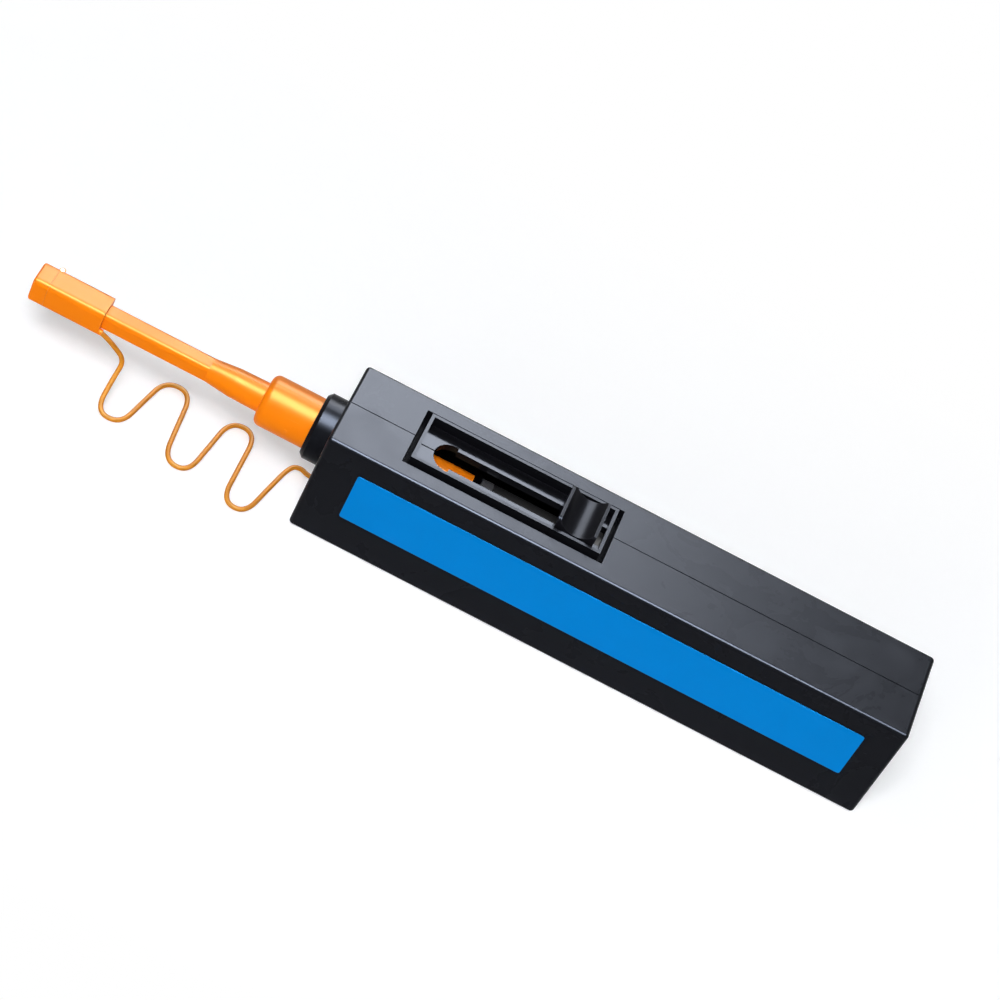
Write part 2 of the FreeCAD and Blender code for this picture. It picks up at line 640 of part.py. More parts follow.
def ratchet_pawl():
    """Hub ring with two springy arms that catch the take-up reel's saw teeth."""
    y0, y1 = GEAR_Y + GEAR_WIDTH, TAKEUP_Y + RATCHET_DEPTH - PAWL_FLOOR_GAP
    ring = rod_y(y0, y1, AXLE_RADIUS + PAWL_HUB, TAKEUP_X, REEL_Z)
    arm_y = TAKEUP_Y + PAWL_SIDE_GAP
    reach = RATCHET_RADIUS - PAWL_TIP_GAP
    inside = rod_y(arm_y, y1, reach - PAWL_ARM, TAKEUP_X, REEL_Z)
    arm = rod_y(arm_y, y1, reach, TAKEUP_X, REEL_Z).cut(inside)
    keep = box(TAKEUP_X - reach, TAKEUP_X + reach, arm_y, y1, REEL_Z, REEL_Z + reach)
    spoke = box(TAKEUP_X, TAKEUP_X + reach - PAWL_ARM / 5, arm_y, y1, REEL_Z, REEL_Z + PAWL_ARM)
    arm = arm.common(keep).fuse(spoke)
    other = arm.copy()
    other.rotate(Vec(TAKEUP_X, 0, REEL_Z), Vec(0, 1, 0), 180)
    bore = rod_y(y0, y1, AXLE_RADIUS + BEARING_GAP, TAKEUP_X, REEL_Z)
    return ring.multiFuse([arm, other]).cut(bore).removeSplitter()


def rack_tooth(x):
    """One straight-sided tooth that points down to the gear."""
    pitch_z = REEL_Z + PITCH_RADIUS
    half = (math.pi * GEAR_MODULE / 2 - BACKLASH) / 2
    slope = math.tan(PRESSURE_ANGLE)
    tip_half = half - GEAR_MODULE * slope
    root_half = half + DEDENDUM * GEAR_MODULE * slope
    outline = [
        (x - root_half, RACK_ROOT_Z), (x - tip_half, pitch_z - GEAR_MODULE),
        (x + tip_half, pitch_z - GEAR_MODULE), (x + root_half, RACK_ROOT_Z)]
    return prism_y(outline, GEAR_Y, GEAR_Y + GEAR_WIDTH)


def push_rack():
    """Rack bar on an arm of the plate that is clipped to the carriage's tail."""
    bar_top = RACK_ROOT_Z + RACK_BAR
    plate_back = RACK_PLATE_FRONT + RACK_PLATE
    pitch = math.pi * GEAR_MODULE
    ahead = math.ceil(PUSH_STROKE / pitch) + 2
    bar_end = TAKEUP_X + RACK_END * pitch
    half = TAIL_RADIUS + RACK_MARGIN
    low = min(AXIS_Z, RACK_ROOT_Z) - half
    plate = box(RACK_PLATE_FRONT, plate_back, GEAR_Y, half, low, bar_top)
    bar = box(RACK_PLATE_FRONT, bar_end, GEAR_Y, GEAR_Y + GEAR_WIDTH, RACK_ROOT_Z, bar_top)
    teeth = [rack_tooth(TAKEUP_X - i * pitch) for i in range(ahead)]
    rack = plate.multiFuse([bar] + teeth)
    return rack.cut(rod_x(RACK_PLATE_FRONT, plate_back, TAIL_RADIUS + FIT_GAP)).removeSplitter()


# ---- reel chassis and reels ----------------------------------------------------------------------

def reel_chassis():
    """Frame that the slider carries: top bar, yoke, bulkhead and the two plates of the reel bay."""
    top = REEL_Z + REEL_RADIUS + PLATE_MARGIN
    bar_top = min(BAR_TOP, CEILING - RUN_GAP)
    bar = box(BAR_FRONT, BULKHEAD_FRONT, -BAR_WIDTH / 2, BAR_WIDTH / 2, BAR_BOTTOM, bar_top)
    yoke_half = TAIL_RADIUS + YOKE_MARGIN
    yoke = box(YOKE_FRONT, YOKE_FRONT + YOKE_THICKNESS, -yoke_half, yoke_half,
               AXIS_Z - yoke_half, bar_top)
    wall = box(BULKHEAD_FRONT, BAY_FRONT, -PLATE_Y, PLATE_Y, CHASSIS_BOTTOM, bar_top)
    plates = []
    for y0 in (-PLATE_Y, PLATE_Y - PLATE_THICKNESS):
        plates.append(box(BAY_FRONT, CHASSIS_BACK, y0, y0 + PLATE_THICKNESS, CHASSIS_BOTTOM, top))
    tie = box(CHASSIS_BACK - TIE_THICKNESS, CHASSIS_BACK, -PLATE_Y, PLATE_Y,
              CHASSIS_BOTTOM, CHASSIS_BOTTOM + TIE_HEIGHT)
    frame = bar.multiFuse([yoke, wall, tie] + plates)
    frame = frame.cut(rod_x(YOKE_FRONT - 1, YOKE_FRONT + YOKE_THICKNESS, TAIL_RADIUS + SLIDE_GAP))
    frame = frame.cut(rod_x(BULKHEAD_FRONT, BAY_FRONT, TAIL_RADIUS))
    frame = frame.cut(box(BULKHEAD_FRONT - 1, BAY_FRONT, GEAR_Y - RUN_GAP, GEAR_Y + GEAR_WIDTH + RUN_GAP,
                          REEL_Z + PITCH_RADIUS - GEAR_MODULE - RUN_GAP, RACK_ROOT_Z + RACK_BAR + RUN_GAP))
    for x in (TAKEUP_X, SUPPLY_X):
        frame = frame.cut(rod_y(-PLATE_Y, PLATE_Y, AXLE_RADIUS + AXLE_FIT, x, REEL_Z))
    return frame.cut(foot_peg(PEG_SIDE)).removeSplitter()


def axle(x):
    """Plain pin through both chassis plates."""
    return rod_y(-PLATE_Y, PLATE_Y, AXLE_RADIUS, x, REEL_Z)


def reel(x, y0, y1):
    """Flanged spool with a bearing bore."""
    spool = rod_y(y0, y1, HUB_RADIUS, x, REEL_Z)
    for side in (y0, y1 - FLANGE_THICKNESS):
        spool = spool.fuse(rod_y(side, side + FLANGE_THICKNESS, REEL_RADIUS, x, REEL_Z))
    return spool.cut(rod_y(y0, y1, AXLE_RADIUS + BEARING_GAP, x, REEL_Z)).removeSplitter()


def ratchet_recess():
    """Saw-toothed pocket in the side of the take-up reel."""
    step = 2 * math.pi / RATCHET_TEETH
    corners = []
    root, tip = RATCHET_RADIUS - RATCHET_ROOT, RATCHET_RADIUS + RATCHET_TIP
    for tooth in range(RATCHET_TEETH):
        for radius, turn in ((root, 0), (tip, RATCHET_SLOPE)):
            a = (tooth + turn) * step
            corners.append((TAKEUP_X + radius * math.cos(a), REEL_Z + radius * math.sin(a)))
    return prism_y(corners, TAKEUP_Y, TAKEUP_Y + RATCHET_DEPTH)


def take_up_reel():
    """Spool for the used thread, its thick gear-side flange holding the ratchet pocket."""
    thick = rod_y(TAKEUP_Y, TAKEUP_Y + 2 * FLANGE_THICKNESS, REEL_RADIUS, TAKEUP_X, REEL_Z)
    spool = reel(TAKEUP_X, TAKEUP_Y, REEL_Y).fuse(thick)
    bore = rod_y(TAKEUP_Y, REEL_Y, AXLE_RADIUS + BEARING_GAP, TAKEUP_X, REEL_Z)
    return spool.cut(ratchet_recess()).cut(bore).removeSplitter()


def supply_reel():
    """Spool for the fresh thread."""
    return reel(SUPPLY_X, -REEL_Y, REEL_Y)


def thread_pack(x, y0, y1, radius):
    """Wound thread between a reel's flanges."""
    pack = rod_y(y0 + FIT_GAP, y1 - FIT_GAP, radius, x, REEL_Z)
    return pack.cut(rod_y(y0 + FIT_GAP, y1 - FIT_GAP, HUB_RADIUS + FIT_GAP, x, REEL_Z))


def brake_washer():
    """Felt-like friction washer that stops the supply reel from running on."""
    y0, y1 = REEL_Y + SLIDE_GAP, PLATE_Y - PLATE_THICKNESS
    disc = rod_y(y0, y1, WASHER_RADIUS, SUPPLY_X, REEL_Z)
    return disc.cut(rod_y(y0, y1, AXLE_RADIUS + SLIDE_GAP, SUPPLY_X, REEL_Z))


def strand(points):
    """Thin thread through a few corners."""
    edges = [Part.LineSegment(a, b).toShape() for a, b in zip(points, points[1:])]
    start = points[0]
    ring = Part.Wire(Part.Circle(start, points[1] - start, THREAD_RADIUS).toShape())
    return Part.Wire(edges).makePipeShell([ring], True, False)


def feed_thread():
    """Fresh thread from the supply reel to the spindle."""
    y, z = THREAD_APART, AXIS_Z + THREAD_APART
    return strand([Vec(SPINDLE_BACK + THREAD_LEAD, y, z), Vec(BAY_FRONT, y, z),
                   Vec(TAKEUP_X, y, REEL_Z + USED_PACK_RADIUS + THREAD_PASS),
                   Vec(SUPPLY_X - 2, y, REEL_Z + FRESH_PACK_RADIUS + THREAD_LIFT)])


def return_thread():
    """Used thread from the spindle to the take-up reel."""
    y, z = -THREAD_APART, AXIS_Z - THREAD_APART
    return strand([Vec(SPINDLE_BACK + THREAD_LEAD, y, z), Vec(BAY_FRONT, y, z),
                   Vec(TAKEUP_X - 1, y, REEL_Z + USED_PACK_RADIUS + THREAD_LIFT)])


# ---- slider button -------------------------------------------------------------------------------

def foot_peg(side):
    """Square peg under the button, where it snaps into the chassis bar."""
    return box(FOOT_X - side / 2, FOOT_X + side / 2, -side / 2, side / 2, BAR_BOTTOM, BAR_TOP)


def pad_profile():
    """Side outline of the thumb pad: a ridge at each end and a hollowed middle."""
    y = -PAD_WIDTH / 2
    back = PAD_HIGH - BACK_RIDGE_DROP
    a, b = PAD_FRONT + RIDGE_LENGTH, PAD_BACK - RIDGE_LENGTH
    corners = [(a, PAD_HIGH), (PAD_FRONT, PAD_HIGH), (PAD_FRONT, PAD_LOW),
               (PAD_BACK, PAD_LOW), (PAD_BACK, back), (b, back)]
    points = [Vec(x, y, z) for x, z in corners]
    edges = [Part.LineSegment(p, q).toShape() for p, q in zip(points, points[1:])]
    valley = Vec((a + b) / 2, y, HOUSING_HEIGHT + VALLEY_RISE)
    edges.append(Part.Arc(points[-1], valley, points[0]).toShape())
    return Part.Wire(edges)


def slider_button():
    """Thumb pad with rounded shoulders and a foot through the slot."""
    pad = Part.Face(pad_profile()).extrude(Vec(0, PAD_WIDTH, 0))
    half = PAD_WIDTH / 2
    keep = box(PAD_FRONT, PAD_BACK, -half, half, PAD_LOW, PAD_HIGH)
    upper = [e for e in long_edges(keep, Vec(1, 0, 0)) if e.Vertexes[0].Z > PAD_LOW + 1]
    pad = pad.common(keep.makeFillet(PAD_SHOULDER, upper))
    foot = box(FOOT_X - FOOT_LENGTH / 2, FOOT_X + FOOT_LENGTH / 2, -FOOT_WIDTH / 2, FOOT_WIDTH / 2,
               BAR_TOP, PAD_LOW)
    return pad.multiFuse([foot, foot_peg(PEG_SIDE)]).removeSplitter()


# ---- cleaning spindle ----------------------------------------------------------------------------

def cleaning_spindle():
    """Hollow rod that turns in the nozzle, with a cam drum and a fine tip."""
    cam = CAM_BORE_FRONT + CAM_GAP
    tip_back = SPINDLE_TIP + TIP_LENGTH
    return turned([
        (SPINDLE_TIP, THREAD_TUBE), (SPINDLE_TIP, TIP_RADIUS - TIP_BEVEL),
        (SPINDLE_TIP + TIP_BEVEL, TIP_RADIUS), (tip_back, TIP_RADIUS), (tip_back + TIP_TAPER, SPINDLE_RADIUS),
        (cam, SPINDLE_RADIUS), (cam, CAM_RADIUS), (cam + CAM_LENGTH, CAM_RADIUS),
        (cam + CAM_LENGTH, SPINDLE_RADIUS), (SPINDLE_BACK, SPINDLE_RADIUS), (SPINDLE_BACK, THREAD_TUBE)])


def tip_thread():
    """Thread laid over the tip, where it wipes the fibre."""
    half = TIP_THREAD_WIDTH / 2
    end = SPINDLE_TIP - TIP_THREAD_GAP
    back = SPINDLE_TIP + TIP_THREAD_LENGTH
    inner = TIP_RADIUS + TIP_THREAD_GAP / 2
    outer = inner + TIP_THREAD
    loop = box(end - TIP_THREAD, back, -half, half, AXIS_Z - outer, AXIS_Z + outer)
    return loop.cut(box(end, back, -half, half, AXIS_Z - inner, AXIS_Z + inner))


# ---- guide cap -----------------------------------------------------------------------------------

def knuckle(low, high, grow=0.0, radius=KNUCKLE_RADIUS):
    """Round hinge barrel on the lid's upright axis, between two heights about the nozzle axis."""
    start = Vec(HINGE_X, HINGE_Y, AXIS_Z + low)
    return Part.makeCylinder(radius + grow, high - low, start, Vec(0, 0, 1))


def guide_cap():
    """Square cap that fits over the stem and guides a connector onto the tip."""
    cap = square_bar(CAP_FRONT, CAP_BACK, CAP_SIDE, CAP_ROUND)
    socket = square_bar(CAP_BACK - CAP_SOCKET_DEPTH, CAP_BACK, STEM_SIDE + 2 * FIT_GAP, STEM_ROUND)
    chamber = rod_x(CAP_FRONT + FERRULE_LENGTH, CAP_BACK - CAP_SOCKET_DEPTH, CAP_CHAMBER_RADIUS)
    ferrule = rod_x(CAP_FRONT, CAP_FRONT + FERRULE_LENGTH, FERRULE_RADIUS)
    cap = cap.cut(socket).cut(chamber).cut(ferrule)
    half, outer = LID_KNUCKLE / 2 + SLIDE_GAP, KNUCKLE_SPAN / 2
    cap = cap.fuse(knuckle(half, outer)).fuse(knuckle(-outer, -half))
    cap = cap.cut(knuckle(-half, half, SLIDE_GAP))
    boss = rod_x(CAP_BACK, CAP_BACK + TETHER_BOSS_LENGTH, TETHER_BOSS, TETHER_Y, TETHER_Z)
    return cap.fuse(boss).cut(knuckle(-outer, outer, 0.0, PIN_RADIUS)).removeSplitter()


def cap_lid():
    """End lid on the cap, hinged at its far side."""
    lid = square_bar(LID_FRONT, CAP_FRONT - LID_GAP, CAP_SIDE, CAP_ROUND)
    rim = [e for e in lid.Edges if max(v.X for v in e.Vertexes) < LID_FRONT + 1e-4]
    lid = lid.makeFillet(LID_ROUND, rim)
    half, outer = LID_KNUCKLE / 2, KNUCKLE_SPAN / 2
    arm = box(CAP_FRONT - LID_ARM, HINGE_X, CAP_SIDE / 2 - LID_ARM_ROOT,
              HINGE_Y + KNUCKLE_RADIUS * LID_ARM_SHARE, AXIS_Z - half, AXIS_Z + half)
    lid = lid.multiFuse([arm, knuckle(-half, half)])
    for side in (-1, 1):
        low, high = sorted((side * half, side * (outer + SLIDE_GAP)))
        lid = lid.cut(knuckle(low, high, SLIDE_GAP))
    return lid.cut(knuckle(-half, half, FIT_GAP, PIN_RADIUS)).removeSplitter()


def lid_pin():
    """Hinge pin held in the cap's two barrels."""
    outer = KNUCKLE_SPAN / 2
    return knuckle(-outer, outer, 0.0, PIN_RADIUS)


def all_parts():
    """Every piece by its node name."""
    shell = housing_shell()
    flange = FLANGE_THICKNESS
    return {
        "left_shell": left_shell(shell),
        "right_shell": right_shell(shell),
        "front_collar": front_collar(),
        "label": label(),
        "tether": tether(),
        "nozzle": nozzle(),
        "retainer_ring": retainer_ring(),
        "carriage": carriage(),
        "return_spring": return_spring(),
        "retaining_clip": retaining_clip(),
        "push_rack": push_rack(),
        "cleaning_spindle": cleaning_spindle(),
        "tip_thread": tip_thread(),
        "feed_thread": feed_thread(),
        "return_thread": return_thread(),
        "guide_cap": guide_cap(),
        "cap_lid": cap_lid(),
        "lid_pin": lid_pin(),
        "slider_button": slider_button(),
        "reel_chassis": reel_chassis(),
        "take_up_axle": axle(TAKEUP_X),
        "supply_axle": axle(SUPPLY_X),
        "brake_washer": brake_washer(),
        "drive_gear": drive_gear(),
        "ratchet_pawl": ratchet_pawl(),
        "take_up_reel": take_up_reel(),
        "supply_reel": supply_reel(),
        "used_thread": thread_pack(TAKEUP_X, TAKEUP_Y + 2 * flange, REEL_Y - flange, USED_PACK_RADIUS),
        "fresh_thread": thread_pack(SUPPLY_X, -REEL_Y + flange, REEL_Y - flange, FRESH_PACK_RADIUS),
    }


os.makedirs("parts", exist_ok=True)
for name, shape in all_parts().items():
    print(f"{name}: {len(shape.Solids)} solid, {shape.Volume:.2f} mm3, valid {shape.isValid()}")
    shape.exportStep(f"parts/{name}.step")
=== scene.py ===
"""Looks of the fibre connector cleaning pen: finishes, tether, threads, spring, gate mark, floor and light.

Everything is in metres unless it says mm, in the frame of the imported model: +X from the cleaning tip to the
back of the housing, +Z up through the window face, the label on the -Y side, the floor at the housing's
bottom face.
"""
import json
import math

import bpy
import numpy as np
from mathutils import Matrix, Vector

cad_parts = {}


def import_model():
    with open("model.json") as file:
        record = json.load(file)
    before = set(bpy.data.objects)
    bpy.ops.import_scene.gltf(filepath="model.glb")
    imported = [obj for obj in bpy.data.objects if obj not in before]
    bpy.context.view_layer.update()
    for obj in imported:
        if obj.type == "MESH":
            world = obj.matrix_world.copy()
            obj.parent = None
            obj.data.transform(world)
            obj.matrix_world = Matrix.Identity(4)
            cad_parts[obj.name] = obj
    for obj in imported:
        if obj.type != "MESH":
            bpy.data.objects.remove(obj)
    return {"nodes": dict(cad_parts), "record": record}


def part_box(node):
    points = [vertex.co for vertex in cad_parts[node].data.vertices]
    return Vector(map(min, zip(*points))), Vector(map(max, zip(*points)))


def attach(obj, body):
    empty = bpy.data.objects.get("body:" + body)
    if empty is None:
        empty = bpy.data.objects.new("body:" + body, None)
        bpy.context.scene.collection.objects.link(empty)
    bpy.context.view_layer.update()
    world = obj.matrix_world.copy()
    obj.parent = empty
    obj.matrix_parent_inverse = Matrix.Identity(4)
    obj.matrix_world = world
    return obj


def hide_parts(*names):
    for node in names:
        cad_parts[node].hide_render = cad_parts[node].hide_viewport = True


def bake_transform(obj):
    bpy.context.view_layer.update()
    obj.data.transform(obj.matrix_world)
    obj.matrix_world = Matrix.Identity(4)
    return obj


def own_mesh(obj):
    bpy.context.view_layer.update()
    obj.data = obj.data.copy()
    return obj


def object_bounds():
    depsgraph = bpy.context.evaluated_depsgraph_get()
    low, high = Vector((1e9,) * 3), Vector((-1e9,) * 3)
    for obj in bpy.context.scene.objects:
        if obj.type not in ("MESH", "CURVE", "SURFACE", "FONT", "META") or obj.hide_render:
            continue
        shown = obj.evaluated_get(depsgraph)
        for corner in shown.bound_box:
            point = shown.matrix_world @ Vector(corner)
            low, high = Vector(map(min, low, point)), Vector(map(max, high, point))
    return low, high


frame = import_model()
cad_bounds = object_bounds()
scene = bpy.context.scene
MM = 0.001
PER_METRE = 1000.0            # repeats in a metre of a pattern that is 1 mm wide


# ---- sizes, in mm --------------------------------------------------------------------------------

RIM_RISE = 1.0                # window rim above the housing's top face
TRAY_START = 15.5             # sunken tray inside the rim, from the housing's front face
TRAY_END = 54.8
TRAY_HALF = 5.9               # half its width
TRAY_DEPTH = 1.6              # its middle, below the top face
TRAY_REACH = 1.5              # and from there up and down

TETHER_RADIUS = 0.5
TETHER_LAP = 0.9              # how far a leg runs on past its bend, into the next leg
TETHER_STEP = 0.25            # between the rings of a leg
THREAD_RADIUS = 0.2
SPRING_WIRE = 0.3             # half the wire's thickness


# ---- counts and shares ---------------------------------------------------------------------------

SPRING_TURNS = 5
RINGS_A_TURN = 28             # rings of wire in a turn of the spring
THREAD_RINGS = 160
TUBE_SIDES = 20
MARK_SIDES = 24
MARK_RINGS = 6
MARK_BACK = 0.999             # gate mark's sunken ring, as a share of its rim
ROUTE_STEPS = 24              # points of the tether's smooth line between two control points


# ---- routes, in mm -------------------------------------------------------------------------------

TETHER_ROUTE = [              # control points, from the guide cap back to the housing
    (-109.5, -2.239, 14.261), (-108.5, -2.1, 13.8), (-106.2, -0.9, 11.1), (-103.4, 0.1, 7.7),
    (-103.7, -2.4, 5.2), (-103.9, -8.5, 0.6), (-98.4, -8.6, 0.6), (-96.9, -0.9, 0.6),
    (-95.3, 6.8, 0.6), (-89.6, 7.0, 0.6), (-88.8, -2.3, 0.6), (-87.9, -11.5, 0.6),
    (-82.6, -11.8, 0.6), (-81.5, -3.3, 0.6), (-80.4, 5.2, 0.6), (-74.7, 5.4, 0.6),
    (-74.5, -4.3, 0.6), (-74.3, -14.0, 0.6), (-69.2, -14.4, 0.6), (-67.6, -6.2, 0.6),
    (-65.9, 1.9, 0.6), (-63.8, 2.4, 0.9), (-62.2, 0.9, 1.6), (-60.8, 0.8, 1.7)]
LEG_TURNS = [                 # (x, y) of the bends between legs, from the housing forward
    (-71.8, -14.2), (-77.6, 5.3), (-85.3, -11.7), (-92.5, 6.9), (-101.1, -8.6)]
LEG_PULLS = [                 # (body behind, body ahead, share of their joint's travel: from, to)
    ("housing", "slider", 0.0, 1 / 3), ("housing", "slider", 1 / 3, 2 / 3),
    ("housing", "slider", 2 / 3, 1.0), ("slider", "nozzle", 0.0, 1.0),
    ("nozzle", "cap", 0.0, 0.6), ("nozzle", "cap", 0.6, 1.0)]

FEED_TURNS = [                # reel bay's front, over the used thread, onto the fresh thread
    (19.95, 0.6, 17.1), (29.85, 0.6, 19.05), (47.1, 0.6, 21.1)]
RETURN_TURNS = [              # reel bay's front, onto the used thread
    (19.95, -0.6, 15.9), (28.85, -0.6, 18.5)]


# ---- node helpers --------------------------------------------------------------------------------

FLOAT, COLOR, VECTOR = "NodeSocketFloat", "NodeSocketColor", "NodeSocketVector"


def rgb(r, g, b):
    """Opaque colour for a socket."""
    return (r, g, b, 1.0)


def put(tree, kind, values=None, **settings):
    """Adds one node. values fills its inputs by name or number, with a constant or another node's output."""
    node = tree.nodes.new(kind)
    for key, value in settings.items():
        setattr(node, key, value)
    for key, value in (values or {}).items():
        if isinstance(value, bpy.types.NodeSocket):
            tree.links.new(value, node.inputs[key])
        else:
            node.inputs[key].default_value = value
    return node


def math_node(tree, operation, a, b=0.0, clamp=False):
    """Output of one Math node."""
    return put(tree, "ShaderNodeMath", {0: a, 1: b}, operation=operation, use_clamp=clamp).outputs[0]


def span(tree, value, low, high, out_low=0.0, out_high=1.0):
    """Value carried from low..high to out_low..out_high with soft ends."""
    node = put(tree, "ShaderNodeMapRange", {0: value, 1: low, 2: high, 3: out_low, 4: out_high})
    node.interpolation_type = "SMOOTHSTEP"
    return node.outputs[0]


def mix(tree, factor, a, b):
    """Colour a with b laid over it by factor."""
    return put(tree, "ShaderNodeMix", {0: factor, 6: a, 7: b}, data_type="RGBA").outputs[2]


def surface_point(tree):
    """Point on the object, in metres."""
    return put(tree, "ShaderNodeTexCoord").outputs["Object"]


def y_of(tree, where):
    """The Y part of a point."""
    return put(tree, "ShaderNodeSeparateXYZ", {0: where}).outputs[1]


def noise(tree, where, scale, detail, roughness=0.5, distortion=0.0):
    """Cloudy noise from 0 to 1."""
    return put(tree, "ShaderNodeTexNoise", {
        "Vector": where, "Scale": scale, "Detail": detail, "Roughness": roughness,
        "Distortion": distortion}).outputs["Fac"]


def new_group(name, inputs, outputs):
    """Empty shader group with named sockets: (tree, its input node, its output node)."""
    tree = bpy.data.node_groups.new(name, "ShaderNodeTree")
    for label, kind, value in inputs:
        socket = tree.interface.new_socket(label, in_out="INPUT", socket_type=kind)
        socket.default_value = value
    for label, kind in outputs:
        tree.interface.new_socket(label, in_out="OUTPUT", socket_type=kind)
    return tree, tree.nodes.new("NodeGroupInput"), tree.nodes.new("NodeGroupOutput")


def place(tree, group, **values):
    """Group node in a material, its inputs filled by name."""
    node = tree.nodes.new("ShaderNodeGroup")
    node.node_tree = group
    for key, value in values.items():
        node.inputs[key].default_value = value
    return node


def new_material(name):
    """Empty material: (material, its node tree)."""
    material = bpy.data.materials.new(name)
    material.use_nodes = True
    material.node_tree.nodes.clear()
    return material, material.node_tree


def seen_rays(tree):
    """1 for what is seen directly, in a reflection or through glass, and 0 for what lights a surface."""
    path = put(tree, "ShaderNodeLightPath")
    beyond = math_node(tree, "ADD", path.outputs["Is Glossy Ray"], path.outputs["Is Transmission Ray"])
    return math_node(tree, "ADD", path.outputs["Is Camera Ray"], beyond, clamp=True)


# ---- shared effects ------------------------------------------------------------------------------

def moulded_grain():
    """Spark-eroded mould grain: two sizes of soft pits over each other. Size is the pit width in mm."""
    tree, given, out = new_group(
        "moulded_grain", [("Size", FLOAT, 0.15)], [("Height", FLOAT)])
    where = surface_point(tree)
    scale = math_node(tree, "DIVIDE", PER_METRE, given.outputs["Size"])
    fine = noise(tree, where, scale, detail=2.0, roughness=0.6)
    coarse = math_node(tree, "MULTIPLY", scale, 0.45)
    pits = put(tree, "ShaderNodeTexVoronoi", {"Vector": where, "Scale": coarse}, feature="SMOOTH_F1")
    height = math_node(tree, "ADD", math_node(tree, "MULTIPLY", fine, 0.65),
                       math_node(tree, "MULTIPLY", pits.outputs["Distance"], 0.35))
    tree.links.new(height, out.inputs["Height"])
    return tree


def uneven_tone():
    """Slow colour variation of a moulded or printed surface: Color darkened and lightened by Amount."""
    tree, given, out = new_group(
        "uneven_tone", [("Color", COLOR, rgb(.5, .5, .5)), ("Amount", FLOAT, 0.1), ("Size", FLOAT, 9.0)],
        [("Color", COLOR)])
    scale = math_node(tree, "DIVIDE", PER_METRE, given.outputs["Size"])
    cloud = noise(tree, surface_point(tree), scale, detail=4.0, roughness=0.55)
    shift = math_node(tree, "MULTIPLY", math_node(tree, "SUBTRACT", cloud, 0.5), 2.0)
    bright = math_node(tree, "ADD", 1.0, math_node(tree, "MULTIPLY", shift, given.outputs["Amount"]))
    tinted = put(tree, "ShaderNodeVectorMath", {0: given.outputs["Color"], 3: bright}, operation="SCALE")
    tree.links.new(tinted.outputs[0], out.inputs["Color"])
    return tree


def worn_edges():
    """Mask that is 1 along rounded and sharp edges, broken up by fine noise. Width is in mm."""
    tree, given, out = new_group(
        "worn_edges", [("Width", FLOAT, 0.4), ("Breakup", FLOAT, 0.5)], [("Mask", FLOAT)])
    radius = math_node(tree, "MULTIPLY", given.outputs["Width"], MM)
    soft = put(tree, "ShaderNodeBevel", {"Radius": radius}, samples=4).outputs[0]
    flat = put(tree, "ShaderNodeNewGeometry").outputs["Normal"]
    agree = put(tree, "ShaderNodeVectorMath", {0: soft, 1: flat}, operation="DOT_PRODUCT").outputs["Value"]
    edge = span(tree, agree, 0.985, 0.80)
    speck = noise(tree, surface_point(tree), 1400.0, detail=5.0, roughness=0.7)
    gaps = math_node(tree, "SUBTRACT", 1.0, span(tree, speck, 0.38, 0.62))
    keep = math_node(tree, "SUBTRACT", 1.0, math_node(tree, "MULTIPLY", given.outputs["Breakup"], gaps))
    tree.links.new(math_node(tree, "MULTIPLY", edge, keep, clamp=True), out.inputs["Mask"])
    return tree


def handled():
    """Masks of faint smudges, Size mm wide, and of fine scuffs left by handling, from 0 to 1."""
    tree, given, out = new_group("handled", [("Size", FLOAT, 14.0)], [("Mask", FLOAT), ("Scratch", FLOAT)])
    where = surface_point(tree)
    scale = math_node(tree, "DIVIDE", PER_METRE, given.outputs["Size"])
    cloud = noise(tree, where, scale, detail=5.0, roughness=0.6, distortion=0.8)
    tree.links.new(span(tree, cloud, 0.42, 0.68), out.inputs["Mask"])
    stretched = put(tree, "ShaderNodeMapping", {"Vector": where, "Scale": (60.0, 1500.0, 1500.0),
                                                "Rotation": (0.0, 0.0, 0.35)}).outputs[0]
    scuffs = noise(tree, stretched, 1.0, detail=2.0)
    tree.links.new(span(tree, scuffs, 0.70, 0.78), out.inputs["Scratch"])
    return tree


def parting_line():
    """Mask of the thin line, Width mm to each side, where the mould halves meet on the mid-plane."""
    tree, given, out = new_group("parting_line", [("Width", FLOAT, 0.12)], [("Mask", FLOAT)])
    away = math_node(tree, "ABSOLUTE", y_of(tree, surface_point(tree)))
    near = math_node(tree, "DIVIDE", away, math_node(tree, "MULTIPLY", given.outputs["Width"], MM))
    tree.links.new(span(tree, near, 1.0, 0.3), out.inputs["Mask"])
    return tree


def inside_box():
    """Mask that is 1 within a block, given by its middle and half size, with soft sides."""
    tree, given, out = new_group(
        "inside_box", [("Middle", VECTOR, (0, 0, 0)), ("Half", VECTOR, (1, 1, 1))], [("Mask", FLOAT)])
    where = surface_point(tree)
    middle, half = given.outputs["Middle"], given.outputs["Half"]
    offset = put(tree, "ShaderNodeVectorMath", {0: where, 1: middle}, operation="SUBTRACT").outputs[0]
    away = put(tree, "ShaderNodeVectorMath", {0: offset}, operation="ABSOLUTE").outputs[0]
    beyond = put(tree, "ShaderNodeVectorMath", {0: away, 1: half}, operation="SUBTRACT").outputs[0]
    x, y, z = put(tree, "ShaderNodeSeparateXYZ", {0: beyond}).outputs
    furthest = math_node(tree, "MAXIMUM", math_node(tree, "MAXIMUM", x, y), z)
    soft = 0.05 * MM
    tree.links.new(span(tree, furthest, soft, -soft), out.inputs["Mask"])
    return tree


